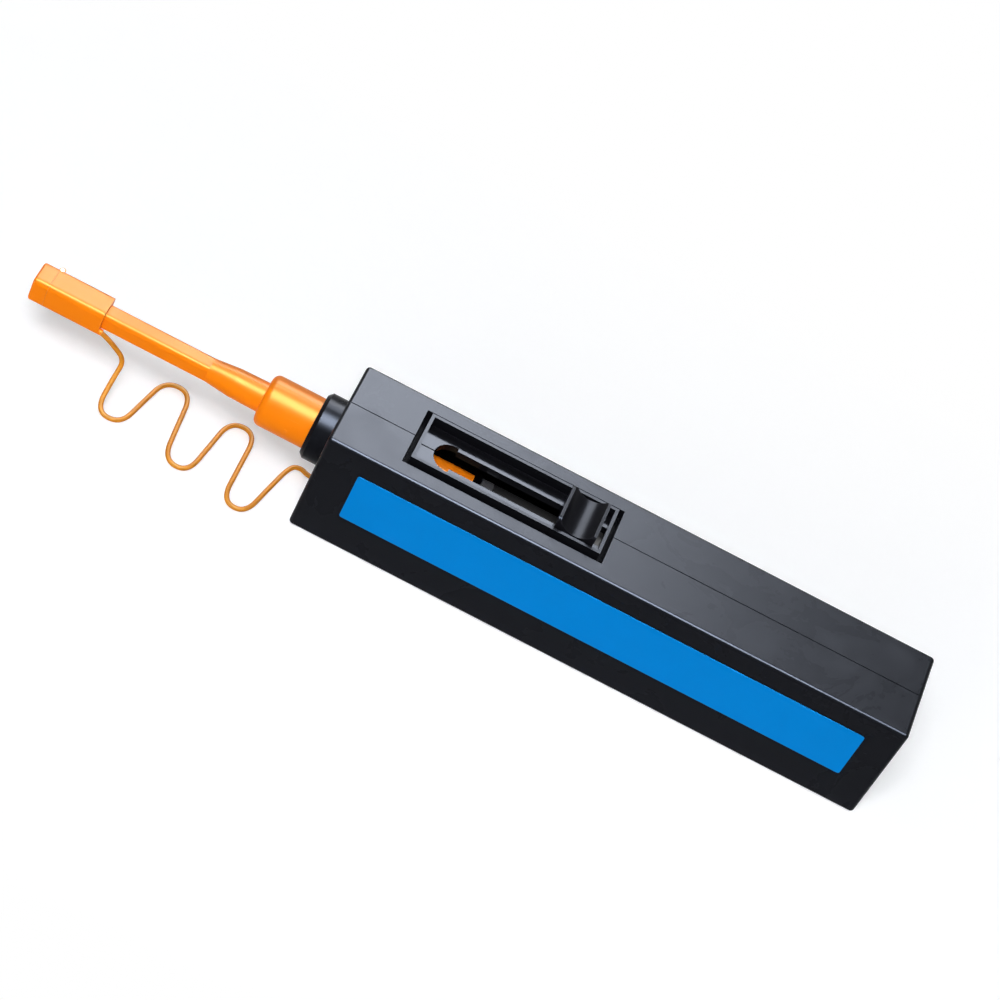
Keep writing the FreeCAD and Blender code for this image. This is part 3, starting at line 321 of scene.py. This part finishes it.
def wound_thread():
    """Height of thread wound round Y: ridges Pitch mm apart, waved by slow noise, with fine fibre on them."""
    tree, given, out = new_group("wound_thread", [("Pitch", FLOAT, 0.35)], [("Height", FLOAT)])
    where = surface_point(tree)
    wander = noise(tree, where, 260.0, detail=3.0)
    pitch = math_node(tree, "MULTIPLY", given.outputs["Pitch"], MM)
    turns = math_node(tree, "ADD", math_node(tree, "DIVIDE", y_of(tree, where), pitch), wander)
    wave = math_node(tree, "SINE", math_node(tree, "MULTIPLY", turns, 2 * math.pi))
    fibre = noise(tree, where, 6000.0, detail=2.0)
    height = math_node(tree, "ADD", math_node(tree, "MULTIPLY", wave, 0.4),
                       math_node(tree, "MULTIPLY", fibre, 0.6))
    tree.links.new(height, out.inputs["Height"])
    return tree


GRAIN, TONE, WEAR = moulded_grain(), uneven_tone(), worn_edges()
HANDLED, PARTING, WOUND, INSIDE = handled(), parting_line(), wound_thread(), inside_box()


# ---- finishes ------------------------------------------------------------------------------------

def bump(tree, height, depth_mm, strength=1.0):
    """Normal from a height that varies over 0..1, depth_mm deep."""
    return put(tree, "ShaderNodeBump", {
        "Height": height, "Distance": depth_mm * MM, "Strength": strength}).outputs[0]


def plastic(name, color, worn, rough, grain, depth, tone=0.10, wear=0.5, edge=0.35, rough_worn=None,
            specular=0.5, parting=0.0, tint=(1.0, 1.0, 1.0), polished=None):
    """Moulded plastic: body colour with slow tone, paler worn edges, grain bump, smudged roughness.

    grain, depth and edge are in mm. rough_worn is the roughness of the worn edges, parting the height of the
    parting line against the grain's, and polished a block left smooth: (middle, half size, roughness).
    """
    material, tree = new_material(name)
    body = place(tree, TONE, Color=rgb(*color), Amount=tone).outputs["Color"]
    edges = math_node(tree, "MULTIPLY", place(tree, WEAR, Width=edge).outputs["Mask"], wear)
    touched = place(tree, HANDLED)
    body = mix(tree, edges, body, rgb(*worn))
    scratch = math_node(tree, "MULTIPLY", touched.outputs["Scratch"], 0.25)
    body = mix(tree, scratch, body, rgb(*worn))
    smudged = math_node(tree, "MULTIPLY", touched.outputs["Mask"], 0.06)
    roughness = math_node(tree, "ADD", rough, smudged)
    if rough_worn is not None:
        change = math_node(tree, "MULTIPLY", edges, rough_worn - rough)
        roughness = math_node(tree, "ADD", roughness, change)
    height = place(tree, GRAIN, Size=grain).outputs["Height"]
    if polished:
        middle, half, smooth = polished
        inside = place(tree, INSIDE, Middle=middle, Half=half).outputs["Mask"]
        smoother = math_node(tree, "MULTIPLY", inside, smooth - rough)
        roughness = math_node(tree, "ADD", roughness, smoother)
        height = math_node(tree, "MULTIPLY", height, math_node(tree, "SUBTRACT", 1.0, inside))
    if parting:
        line = place(tree, PARTING).outputs["Mask"]
        height = math_node(tree, "ADD", height, math_node(tree, "MULTIPLY", line, parting))
    shader = put(tree, "ShaderNodeBsdfPrincipled", {
        "Base Color": body, "Roughness": roughness, "Normal": bump(tree, height, depth),
        "Specular IOR Level": specular, "Specular Tint": rgb(*tint)})
    put(tree, "ShaderNodeOutputMaterial", {"Surface": shader.outputs[0]})
    return material


def steel():
    """Drawn steel: fine lines round the part, darker smears of oil."""
    material, tree = new_material("steel")
    stretched = put(tree, "ShaderNodeMapping", {
        "Vector": surface_point(tree), "Scale": (900.0, 9000.0, 900.0)}).outputs[0]
    lines = noise(tree, stretched, 1.0, detail=3.0)
    body = place(tree, TONE, Color=rgb(.56, .56, .57), Amount=0.15, Size=3.0).outputs["Color"]
    oil = place(tree, HANDLED, Size=5.0).outputs["Mask"]
    body = mix(tree, math_node(tree, "MULTIPLY", oil, 0.3), body, rgb(.40, .38, .35))
    roughness = math_node(tree, "ADD", 0.22, math_node(tree, "MULTIPLY", lines, 0.2))
    shader = put(tree, "ShaderNodeBsdfPrincipled", {
        "Base Color": body, "Metallic": 1.0, "Roughness": roughness, "Normal": bump(tree, lines, 0.01, 0.6)})
    put(tree, "ShaderNodeOutputMaterial", {"Surface": shader.outputs[0]})
    return material


def fibrous(name, color, pale, fibre, depth, wound=0.0):
    """Thread or felt: soft fibres in two tones. fibre is their width and wound the pitch of ridges, in mm."""
    material, tree = new_material(name)
    hairs = noise(tree, surface_point(tree), PER_METRE / fibre, detail=6.0, roughness=0.75, distortion=1.5)
    body = place(tree, TONE, Color=rgb(*color), Amount=0.12, Size=2.0).outputs["Color"]
    body = mix(tree, span(tree, hairs, 0.45, 0.7), body, rgb(*pale))
    height = hairs
    if wound:
        height = math_node(tree, "ADD", math_node(tree, "MULTIPLY", hairs, 0.4),
                           place(tree, WOUND, Pitch=wound).outputs["Height"])
    roughness = span(tree, hairs, 0.2, 0.8, 0.78, 0.95)
    shader = put(tree, "ShaderNodeBsdfPrincipled", {
        "Base Color": body, "Roughness": roughness, "Normal": bump(tree, height, depth),
        "Sheen Weight": 0.35, "Specular IOR Level": 0.25})
    put(tree, "ShaderNodeOutputMaterial", {"Surface": shader.outputs[0]})
    return material


def window_tray(smooth):
    """The sunken tray in the window rim, smooth as from a polished mould: (middle, half size, roughness)."""
    low, high = (np.array(v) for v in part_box("left_shell"))
    front, back = low[0] + TRAY_START * MM, low[0] + TRAY_END * MM
    top = high[2] - RIM_RISE * MM
    middle = ((front + back) / 2, 0.0, top - TRAY_DEPTH * MM)
    return middle, ((back - front) / 2, TRAY_HALF * MM, TRAY_REACH * MM), smooth


COOL = (.66, .77, 1.0)        # the black plastics' bluish sheen

FINISHES = {
    "housing_plastic": plastic(
        "housing_plastic", color=(.0045, .0046, .0060), worn=(.022, .023, .030), rough=0.27, rough_worn=0.26,
        grain=0.13, depth=0.010, tone=0.14, wear=0.15, edge=0.4, specular=0.05, tint=COOL,
        polished=window_tray(0.12)),
    "collar_plastic": plastic(
        "collar_plastic", color=(.0045, .0046, .006), worn=(.024, .025, .030), rough=0.27, rough_worn=0.22,
        grain=0.10, depth=0.006, specular=0.028, tint=COOL),
    "button_plastic": plastic(
        "button_plastic", color=(.006, .006, .008), worn=(.04, .042, .05), rough=0.26, rough_worn=0.22,
        grain=0.11, depth=0.006, wear=0.6, edge=0.4, specular=0.022, tint=COOL),
    "inner_plastic": plastic(
        "inner_plastic", color=(.006, .006, .007), worn=(.03, .03, .034), rough=0.40,
        grain=0.14, depth=0.012, wear=0.35, specular=0.07),
    "orange_plastic": plastic(
        "orange_plastic", color=(.87, .205, .003), worn=(.93, .32, .04), rough=0.31, rough_worn=0.30,
        grain=0.16, depth=0.008, tone=0.04, wear=0.30, edge=0.30, specular=0.064, parting=1.0,
        tint=(1.0, .90, .30)),
    "tether_plastic": plastic(
        "tether_plastic", color=(.62, .235, .018), worn=(.78, .36, .07), rough=0.42,
        grain=0.20, depth=0.010, wear=0.25, edge=0.2, specular=0.08, tint=(1.0, .85, .5)),
    "label_film": plastic(
        "label_film", color=(.0, .205, .60), worn=(.03, .26, .66), rough=0.30,
        grain=0.30, depth=0.003, tone=0.03, wear=0.4, edge=0.12, specular=0.02),
    "grey_plastic": plastic(
        "grey_plastic", color=(.055, .056, .062), worn=(.14, .14, .15), rough=0.28,
        grain=0.14, depth=0.008, specular=0.15),
    "white_plastic": plastic(
        "white_plastic", color=(.74, .73, .69), worn=(.86, .85, .82), rough=0.38,
        grain=0.16, depth=0.008, tone=0.05),
    "steel": steel(),
    "felt": fibrous("felt", color=(.16, .17, .19), pale=(.30, .31, .33), fibre=0.35, depth=0.10),
    "thread": fibrous(
        "thread", color=(.80, .79, .75), pale=(.92, .91, .88), fibre=0.08, depth=0.06, wound=0.35),
}


def finish_nodes():
    """Puts its finish on each CAD node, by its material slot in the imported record."""
    slots = {row["node"]: row["material_slot"] for row in frame["record"]["subparts"]}
    for name, node in frame["nodes"].items():
        for slot in node.material_slots:
            slot.material = FINISHES[slots[name]]
        if not node.material_slots:
            node.data.materials.append(FINISHES[slots[name]])


# ---- surfaces ------------------------------------------------------------------------------------

def closed_rings(name, rings, poles):
    """Closed surface through rows of points, each a ring, with a fan from each end's ring to its pole.

    Faces point outwards where the step to the next point, crossed with the step to the next ring, does.
    """
    rows, columns = rings.shape[:2]
    i, j = np.meshgrid(np.arange(rows - 1), np.arange(columns), indexing="ij")
    k = (j + 1) % columns
    quads = np.stack([i * columns + j, i * columns + k, (i + 1) * columns + k, (i + 1) * columns + j], -1)
    j = np.arange(columns)
    k = (j + 1) % columns
    last = (rows - 1) * columns
    start = np.stack([np.full(columns, rows * columns), k, j], -1)
    end = np.stack([np.full(columns, rows * columns + 1), last + j, last + k], -1)
    vertices = np.concatenate([rings.reshape(-1, 3), poles])
    mesh = bpy.data.meshes.new(name)
    mesh.from_pydata(vertices.tolist(), [], quads.reshape(-1, 4).tolist() + start.tolist() + end.tolist())
    mesh.shade_smooth()
    made = bpy.data.objects.new(name, mesh)
    scene.collection.objects.link(made)
    return made


def along(line):
    """Distance travelled at each point of a line."""
    return np.concatenate([[0.0], np.cumsum(np.linalg.norm(np.diff(line, axis=0), axis=1))])


def points_at(line, distances):
    """Points of a line at the given distances along it."""
    s = along(line)
    return np.stack([np.interp(distances, s, line[:, i]) for i in range(3)], -1)


def carried_frames(line):
    """Two unit vectors across a line at each point, carried along it without twist."""
    step = np.gradient(line, axis=0)
    step /= np.linalg.norm(step, axis=1)[:, None]
    side = np.zeros_like(step)
    first = np.cross(step[0], [0.0, 0.0, 1.0])
    side[0] = first / np.linalg.norm(first)
    for i in range(1, len(step)):
        flat = side[i - 1] - step[i] * (side[i - 1] @ step[i])
        side[i] = flat / np.linalg.norm(flat)
    return side, np.cross(step, side)


def tube(name, line, radius):
    """Round tube on a line: centre + radius (cos a * side + sin a * up), with a pole at each end of the line.

    radius is one number per point, and a runs once round in even steps.
    """
    side, up = carried_frames(line)
    a = np.linspace(0, 2 * np.pi, TUBE_SIDES, endpoint=False)
    ring = np.cos(a)[None, :, None] * side[:, None, :] + np.sin(a)[None, :, None] * up[:, None, :]
    return closed_rings(name, line[:, None, :] + radius[:, None, None] * ring, line[[0, -1]])


def dome_ends(line, radius):
    """Radius along a tube: full in the middle, closing as a quarter circle to a fiftieth at both ends."""
    s = along(line)
    near = np.minimum(s, s[-1] - s)
    inside = np.clip(near / radius, 0, 1)
    return radius * np.sqrt(np.clip(1 - (1 - inside) ** 2, 0.0004, 1))


# ---- tether --------------------------------------------------------------------------------------

def smooth_line(points, steps):
    """Points along the quadratic NURBS curve whose control points are given in mm."""
    curve = bpy.data.curves.new("tether_line", "CURVE")
    curve.dimensions = "3D"
    spline = curve.splines.new("NURBS")
    spline.points.add(len(points) - 1)
    spline.points.foreach_set("co", np.column_stack([np.array(points) * MM, np.ones(len(points))]).ravel())
    spline.order_u = 3
    spline.use_endpoint_u = True
    spline.resolution_u = steps
    holder = bpy.data.objects.new("tether_line", curve)
    scene.collection.objects.link(holder)
    line = bpy.data.meshes.new_from_object(holder)
    found = np.zeros(len(line.vertices) * 3)
    line.vertices.foreach_get("co", found)
    bpy.data.objects.remove(holder)
    return found.reshape(-1, 3)


def tether_leg(name, line, first, last):
    """One leg of the zig-zag: a tube with domed ends, on the line from distance first to last.

    It runs on past both ends into the next legs, so neighbouring legs meet.
    """
    begin = max(0.0, first - TETHER_LAP * MM)
    stop = min(along(line)[-1], last + TETHER_LAP * MM)
    rings = int((stop - begin) / (TETHER_STEP * MM))
    leg = points_at(line, np.linspace(begin, stop, rings))
    made = tube(name, leg, dome_ends(leg, TETHER_RADIUS * MM))
    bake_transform(made)
    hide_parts("tether")
    made.data.materials.append(FINISHES["tether_plastic"])


def tether():
    """The moulded strap's legs, from the housing forward to the guide cap."""
    line = smooth_line(TETHER_ROUTE[::-1], ROUTE_STEPS)
    s = along(line)
    stations = [s[np.argmin(np.hypot(line[:, 0] - x * MM, line[:, 1] - y * MM))] for x, y in LEG_TURNS]
    stations = [0.0] + stations + [s[-1]]
    for i, (behind, ahead, start, end) in enumerate(LEG_PULLS):
        tether_leg(f"tether_leg_{i + 1}", line, stations[i], stations[i + 1])


# ---- threads, spring and gate mark ---------------------------------------------------------------

def thread_strand(name, turns):
    """A thread from the spindle to its reel: a round tube through straight stretches between turning points.
    """
    low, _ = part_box(name)
    first = (low[0] / MM + THREAD_RADIUS, turns[0][1], turns[0][2])
    corners = np.array([first] + turns) * MM
    line = points_at(corners, np.linspace(0, along(corners)[-1], THREAD_RINGS))
    made = tube(name + "_strand", line, np.full(len(line), THREAD_RADIUS * MM))
    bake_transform(made)
    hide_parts(name)
    made.data.materials.append(FINISHES["thread"])


def spring_coil():
    """The return spring: round wire along centre + radius (sin a across, -cos a up), x growing evenly with a.

    It stands on the yoke and moves with the slider.
    """
    low, high = (np.array(v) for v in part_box("return_spring"))
    middle, length = (low + high) / 2, high[0] - low[0]
    wire = SPRING_WIRE * MM
    radius = (high[1] - low[1]) / 2 - wire
    u = np.linspace(0, 1, SPRING_TURNS * RINGS_A_TURN + 1)
    a = 2 * np.pi * SPRING_TURNS * u
    x = low[0] + wire + (length - 2 * wire) * u
    line = np.column_stack([x, middle[1] + radius * np.sin(a), middle[2] - radius * np.cos(a)])
    made = tube("spring_coil", line, dome_ends(line, wire))
    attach(made, "slider")
    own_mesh(made)
    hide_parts("return_spring")
    made.data.materials.append(FINISHES["steel"])


def gate_mark(name, centre, radius, height):
    """Low round mark left by the mould's gate, facing -Y: a dome whose rise is height (1 - (r / radius)^2).

    centre, radius and height are in mm. The rings run from the front pole out to the rim, and a last ring
    just inside it lies as deep as the dome is high, with the back pole in its middle.
    """
    dome = np.linspace(0, 1, MARK_RINGS + 1)[1:]
    out = np.append(dome, MARK_BACK) * radius
    rise = np.append(height * (1 - dome ** 2), -height)
    a = np.linspace(0, 2 * np.pi, MARK_SIDES, endpoint=False)
    x = centre[0] + out[:, None] * np.cos(a)
    y = centre[1] - rise[:, None] + np.zeros(MARK_SIDES)
    z = centre[2] - out[:, None] * np.sin(a)
    poles = np.array(centre) + [[0, -height, 0], [0, height, 0]]
    made = closed_rings(name, np.stack([x, y, z], -1) * MM, poles * MM)
    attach(made, "nozzle")
    made.data.materials.append(FINISHES["orange_plastic"])


# ---- floor, light and camera ---------------------------------------------------------------------

def floor_shader(tree):
    """Pale matt floor near the object, plain white from 12 cm away.

    The distance is from the object's middle line, worked out as the length of (what x lies past its ends, y).
    """
    (start, _, _), (end, _, _) = cad_bounds
    x, y, _ = put(tree, "ShaderNodeSeparateXYZ", {0: surface_point(tree)}).outputs
    from_middle = math_node(tree, "ABSOLUTE", math_node(tree, "SUBTRACT", x, (start + end) / 2))
    past_end = math_node(tree, "MAXIMUM", math_node(tree, "SUBTRACT", from_middle, (end - start) / 2), 0.0)
    offset = put(tree, "ShaderNodeCombineXYZ", {0: past_end, 1: y}).outputs[0]
    distance = put(tree, "ShaderNodeVectorMath", {0: offset}, operation="LENGTH").outputs["Value"]
    seen = seen_rays(tree)
    matt = put(tree, "ShaderNodeBsdfDiffuse", {"Color": rgb(.69, .705, .735)})
    lift = put(tree, "ShaderNodeEmission", {
        "Color": rgb(1, 1, 1), "Strength": math_node(tree, "MULTIPLY", seen, 0.38)})
    near = put(tree, "ShaderNodeAddShader", {0: matt.outputs[0], 1: lift.outputs[0]})
    white = put(tree, "ShaderNodeEmission", {
        "Color": rgb(1, 1, 1), "Strength": math_node(tree, "MAXIMUM", seen, 0.5)})
    fade = span(tree, distance, 0.03, 0.12)
    return put(tree, "ShaderNodeMixShader", {0: fade, 1: near.outputs[0], 2: white.outputs[0]})


def floor():
    """Floor just under the housing's bottom face, which keeps the object's shadow."""
    half, z = 3.0, -0.02 * MM
    corners = [(-half, -half, z), (half, -half, z), (half, half, z), (-half, half, z)]
    mesh = bpy.data.meshes.new("floor")
    mesh.from_pydata(corners, [], [(0, 1, 2, 3)])
    made = bpy.data.objects.new("floor", mesh)
    scene.collection.objects.link(made)
    material, tree = new_material("floor")
    put(tree, "ShaderNodeOutputMaterial", {"Surface": floor_shader(tree).outputs[0]})
    made.data.materials.append(material)


def world():
    """White surroundings for what the camera and reflections see, and a low even fill for the rest."""
    made = bpy.data.worlds.new("world")
    made.use_nodes = True
    tree = made.node_tree
    tree.nodes.clear()
    fill = 0.25
    strength = math_node(tree, "ADD", fill, math_node(tree, "MULTIPLY", seen_rays(tree), 1 - fill))
    shade = put(tree, "ShaderNodeBackground", {"Color": rgb(1, 1, 1), "Strength": strength})
    put(tree, "ShaderNodeOutputWorld", {"Surface": shade.outputs[0]})
    scene.world = made


def softbox(name, towards, distance, width, height, power, sheen_only=False):
    """Rectangular soft light that stands in a direction from the origin and faces it."""
    light = bpy.data.lights.new(name, "AREA")
    light.shape = "RECTANGLE"
    light.size, light.size_y, light.energy = width, height, power
    made = bpy.data.objects.new(name, light)
    scene.collection.objects.link(made)
    away = Vector(towards).normalized()
    made.location = away * distance
    made.rotation_euler = (-away).to_track_quat("-Z", "Y").to_euler()
    made.visible_diffuse = not sheen_only


def lights():
    """Two softboxes that only put a sheen on flat tops and round parts, and two that light the surfaces."""
    softbox("overhead", towards=(-0.185, 0.66, 0.71), distance=1.2, width=0.60, height=0.70, power=88.0,
            sheen_only=True)
    softbox("crown", towards=(-0.10, -0.20, 0.97), distance=1.2, width=0.80, height=0.60, power=330.0,
            sheen_only=True)
    softbox("key", towards=(-0.10, -0.50, 0.86), distance=1.3, width=0.50, height=0.40, power=12.6)
    softbox("front", towards=(-0.20, -0.95, 0.25), distance=1.3, width=1.0, height=0.8, power=4.5)


def camera():
    """Long lens above the label side, looking down at the pen laid aslant."""
    lens = bpy.data.cameras.new("camera")
    lens.lens, lens.sensor_width = 123.99408, 36
    lens.clip_start, lens.clip_end = 0.01, 20
    made = bpy.data.objects.new("camera", lens)
    scene.collection.objects.link(made)
    right = Vector((0.88818, 0.31731, 0.33233))
    down = Vector((0.45868, -0.65504, -0.60044))
    ahead = Vector((0.02716, 0.68573, -0.72735))
    stand = Vector((-44.915, -448.83, 497.42)) * MM
    turn = Matrix((right, -down, -ahead)).transposed().to_4x4()
    made.matrix_world = Matrix.Translation(stand) @ turn
    scene.camera = made


camera()
scene.view_settings.view_transform = "Standard"
floor()
world()
lights()
tether()
thread_strand("feed_thread", FEED_TURNS)
thread_strand("return_thread", RETURN_TURNS)
spring_coil()
gate_mark("gate_mark", centre=(-69.35, -5.27, 16.66), radius=0.42, height=0.10)
finish_nodes()
